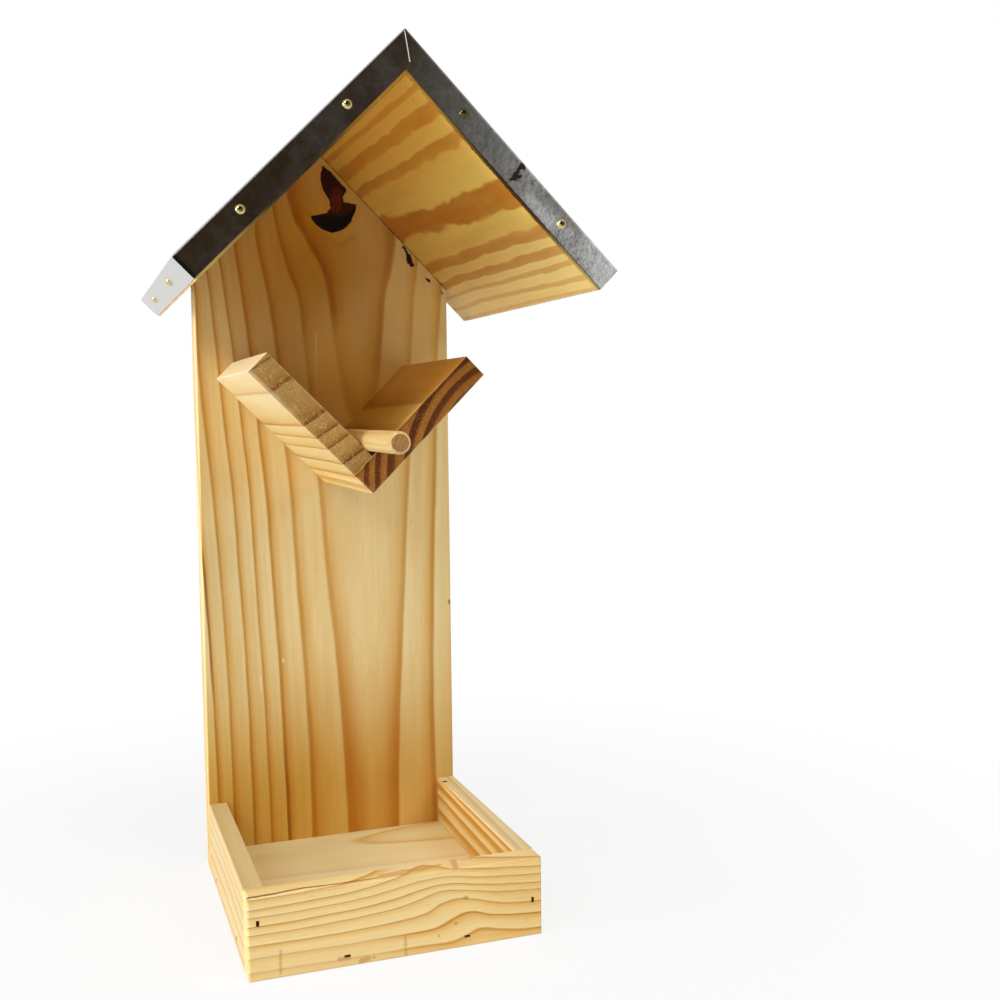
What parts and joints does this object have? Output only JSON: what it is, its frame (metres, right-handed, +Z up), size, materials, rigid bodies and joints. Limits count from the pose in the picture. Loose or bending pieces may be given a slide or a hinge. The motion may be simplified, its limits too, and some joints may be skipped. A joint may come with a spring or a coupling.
{
  "type": "bird feeder",
  "caption": "Pine bird feeder: tall backboard, gabled roof under folded zinc, V-shaped cradle for a jar on its side, perch dowel and open seed tray.",
  "frame": {"origin": "bottom centre of the whole feeder's bounding box, on the surface it stands on", "axes": "+X to the right seen from the front, +Y to the back, where it hangs against a wall, +Z up"},
  "size_m": [0.1522, 0.1516, 0.3244],
  "materials": {
    "pine": "planed, lightly sanded and clear sealed",
    "dowel_wood": "smooth turned",
    "zinc_sheet": "bare galvanised, faint spangle",
    "brass_nails": "polished",
    "brad_wire": "dull coated wire",
    "plated_screws": "zinc plated",
    "plated_steel": "zinc plated"
  },
  "bodies": {
    "root": {"backboard": "pine", "roof_board_left": "pine", "roof_board_right": "pine", "roof_sheet": "zinc_sheet", "cradle_board_left": "pine", "cradle_board_right": "pine", "perch_dowel": "dowel_wood", "tray_floor": "pine", "tray_rail_left": "pine", "tray_rail_right": "pine", "tray_rail_front": "pine", "front_flange_nails": "brass_nails", "eave_nails_left": "brass_nails", "eave_nails_right": "brass_nails", "ridge_brads": "brad_wire", "roof_to_board_brads": "brad_wire", "cradle_joint_brads": "brad_wire", "cradle_screws": "plated_screws", "front_rail_brads": "brad_wire", "front_floor_brads": "brad_wire", "side_floor_brads": "brad_wire", "back_rail_brads": "brad_wire", "back_floor_brads": "brad_wire", "rail_toe_brad": "brad_wire", "hanger_plate": "plated_steel", "hanger_screws": "plated_screws"}
  },
  "joints": []
}
